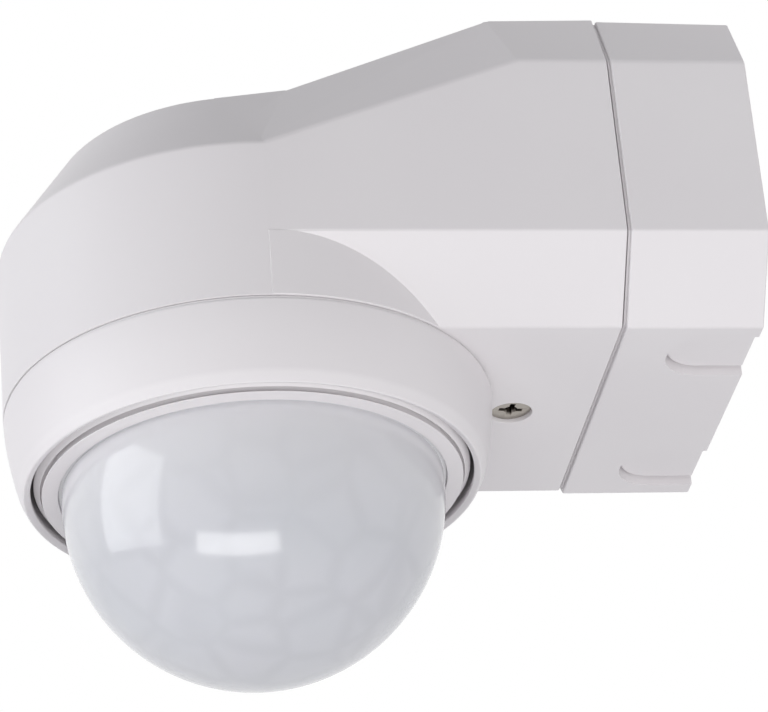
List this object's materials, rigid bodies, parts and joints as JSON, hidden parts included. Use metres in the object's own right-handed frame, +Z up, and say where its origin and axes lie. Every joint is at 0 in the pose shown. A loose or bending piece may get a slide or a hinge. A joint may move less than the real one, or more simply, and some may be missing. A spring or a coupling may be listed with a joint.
{
  "type": "motion detector",
  "caption": "Wall-mounted outdoor motion detector: eight-sided wall box, sloping housing with a round head, tapering trim ring and a milky dome lens that faces down.",
  "frame": {"origin": "middle of the flat back of the wall box, on the wall's surface", "axes": "+Y into the wall, so the detector reaches out to -Y; +Z up, so the lens faces -Z; +X across"},
  "size_m": [0.0806, 0.1202, 0.102],
  "materials": {
    "white_shell": "fine-textured moulded thermoplastic, off-white",
    "milky_lens": "smooth milky polyethylene",
    "seal_rubber": "matt black rubber",
    "terminal_plastic": "pale grey polyamide",
    "clamp_brass": "bright brass",
    "screw_steel": "nickel-plated steel",
    "board_laminate": "green solder mask on laminate",
    "relay_case": "black moulded plastic",
    "film_case": "yellow moulded plastic",
    "capacitor_sleeve": "dark shrink sleeve",
    "fuse_ceramic": "glazed ceramic",
    "varistor_coat": "blue epoxy coat",
    "ferrite": "sintered ferrite",
    "copper_wire": "enamelled copper",
    "chip_epoxy": "black epoxy",
    "header_plastic": "natural polyamide",
    "tinned_metal": "tin plate",
    "lead_jacket": "grey flexible jacket",
    "filter_window": "dark infrared filter",
    "diode_lens": "clear red epoxy",
    "photodiode_lens": "clear epoxy",
    "knob_plastic": "moulded plastic"
  },
  "bodies": {
    "wall_base": {"wall_box": "white_shell", "seam_gasket": "seal_rubber", "cable_grommet": "seal_rubber", "terminal_block": "terminal_plastic", "terminal_clamps": "clamp_brass", "terminal_screws": "screw_steel", "block_screws": "screw_steel"},
    "housing": {"housing_shell": "white_shell", "housing_screw": "screw_steel", "square_nut": "screw_steel", "power_board": "board_laminate", "board_screws": "screw_steel", "relay": "relay_case", "film_capacitor": "film_case", "electrolytic_capacitor": "capacitor_sleeve", "fuse": "fuse_ceramic", "fuse_caps": "tinned_metal", "varistor": "varistor_coat", "choke": "ferrite", "choke_winding": "copper_wire", "power_chips": "chip_epoxy", "plug_header": "header_plastic", "plug_pins": "tinned_metal", "lead_socket": "header_plastic", "head_lead": "lead_jacket"},
    "trim_ring": {"trim_ring": "white_shell"},
    "sensor_head": {"sensor_drum": "white_shell", "hub_clip": "terminal_plastic", "sensor_board": "board_laminate", "sensor_board_screws": "screw_steel", "lead_plug": "header_plastic", "pyro_holder": "relay_case", "pyro_sensors": "tinned_metal", "pyro_windows": "filter_window", "light_sensor": "photodiode_lens", "status_led": "diode_lens", "sensor_chips": "chip_epoxy", "adjuster_bodies": "header_plastic", "collar_bezel": "white_shell", "lens_dome": "milky_lens", "lens_clamp_ring": "white_shell"},
    "time_knob": {"time_knob": "knob_plastic"},
    "lux_knob": {"lux_knob": "knob_plastic"},
    "reach_knob": {"reach_knob": "knob_plastic"}
  },
  "joints": [
    {"name": "housing_slide", "type": "slide", "parent": "wall_base", "child": "housing", "axis": [0, -1, 0], "range_m": [0, 0.04]},
    {"name": "ring_slide", "type": "slide", "parent": "housing", "child": "trim_ring", "axis": [0, 0, -1], "range_m": [0, 0.03]},
    {"name": "head_turn", "type": "hinge", "parent": "housing", "child": "sensor_head", "pos_m": [0, -0.08, 0], "axis": [0, 0, 1], "range_deg": [-165, 165]},
    {"name": "time_knob_turn", "type": "hinge", "parent": "sensor_head", "child": "time_knob", "pos_m": [-0.0161, -0.10789, -0.03475], "axis": [-0.5, -0.866, 0], "range_deg": [-135, 135]},
    {"name": "lux_knob_turn", "type": "hinge", "parent": "sensor_head", "child": "lux_knob", "pos_m": [0, -0.1122, -0.03475], "axis": [0, -1, 0], "range_deg": [-135, 135]},
    {"name": "reach_knob_turn", "type": "hinge", "parent": "sensor_head", "child": "reach_knob", "pos_m": [0.0161, -0.10789, -0.03475], "axis": [0.5, -0.866, 0], "range_deg": [-135, 135]}
  ]
}
